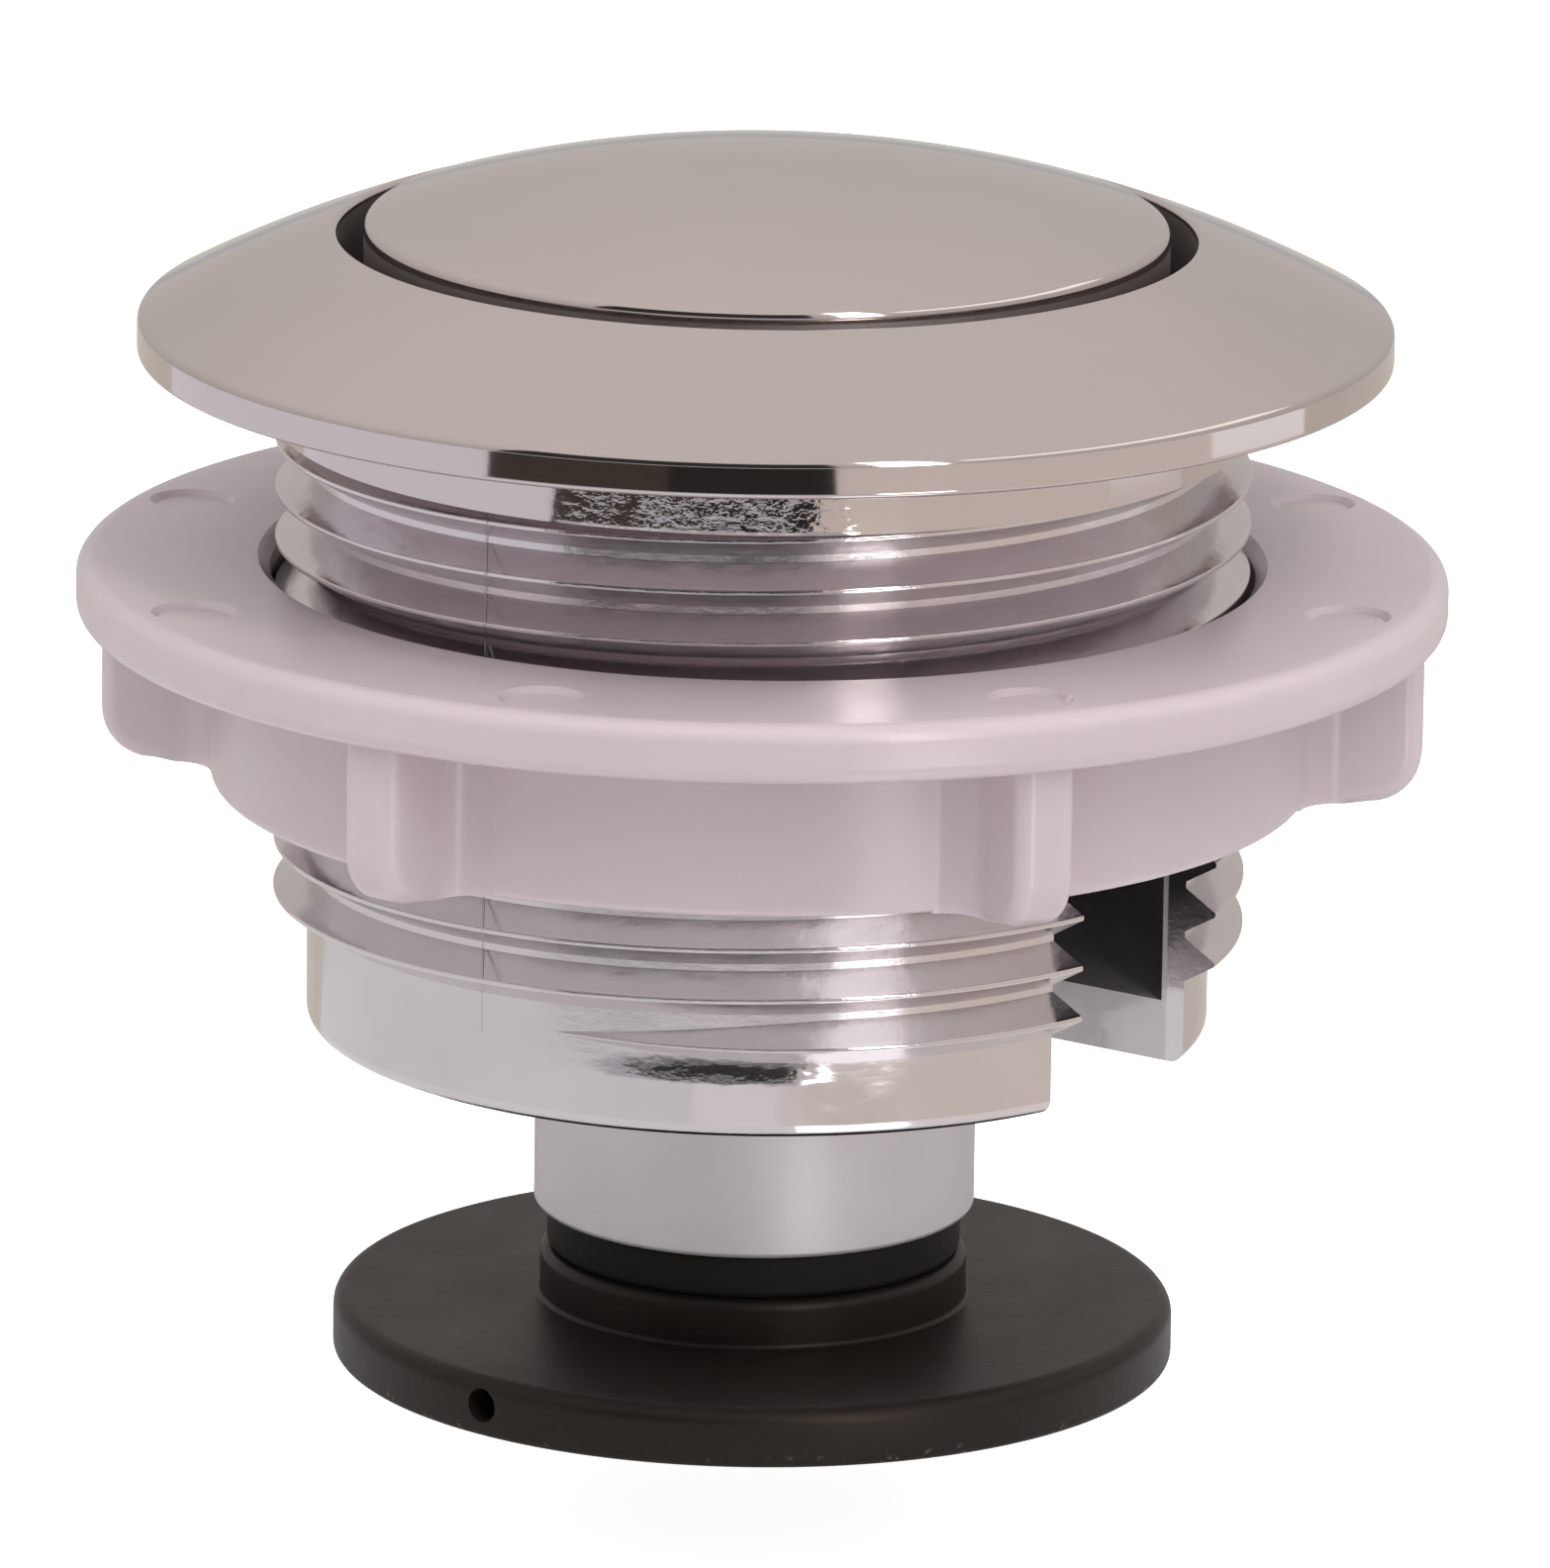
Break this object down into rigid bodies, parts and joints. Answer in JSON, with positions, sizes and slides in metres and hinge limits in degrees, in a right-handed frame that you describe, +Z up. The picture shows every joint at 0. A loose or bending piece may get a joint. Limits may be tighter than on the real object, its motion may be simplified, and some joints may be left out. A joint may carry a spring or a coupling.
{
  "type": "push button cistern actuator",
  "caption": "Domed push button on a threaded, slotted shank with a back nut that clamps a cistern lid; a spring-loaded push rod ends in a foot disc that presses the flush valve",
  "frame": {"origin": "centre of the foot disc's underside, on which the actuator stands", "axes": "+Z up along the button's axis, the foot disc below and the domed cap above; -Y is the side that the picture shows"},
  "size_m": [0.0802, 0.0802, 0.0718],
  "materials": {
    "plated_body": "bright plate on moulded plastic, polished on the bezel and satin on the thread",
    "white_plastic": "satin white moulded plastic, slightly translucent",
    "plated_cap": "polished bright plate on moulded plastic",
    "black_plastic": "satin black moulded plastic with light scuffs",
    "black_rubber": "matt black rubber",
    "spring_wire": "bright drawn stainless wire"
  },
  "bodies": {
    "body": {"sleeve_body": "plated_body", "return_spring": "spring_wire"},
    "nut": {"back_nut": "white_plastic"},
    "button": {"button_cap": "plated_cap", "push_rod": "black_plastic", "buffer_ring": "black_rubber"}
  },
  "joints": [
    {"name": "button_press", "type": "slide", "parent": "body", "child": "button", "axis": [0, 0, 1], "range_m": [-0.01, 0], "stiffness_N_per_m": 160, "springref_m": 0.016, "deforming": ["return_spring"]},
    {"name": "nut_travel", "type": "slide", "parent": "body", "child": "nut", "axis": [0, 0, 1], "range_m": [-0.009, 0.012]}
  ]
}
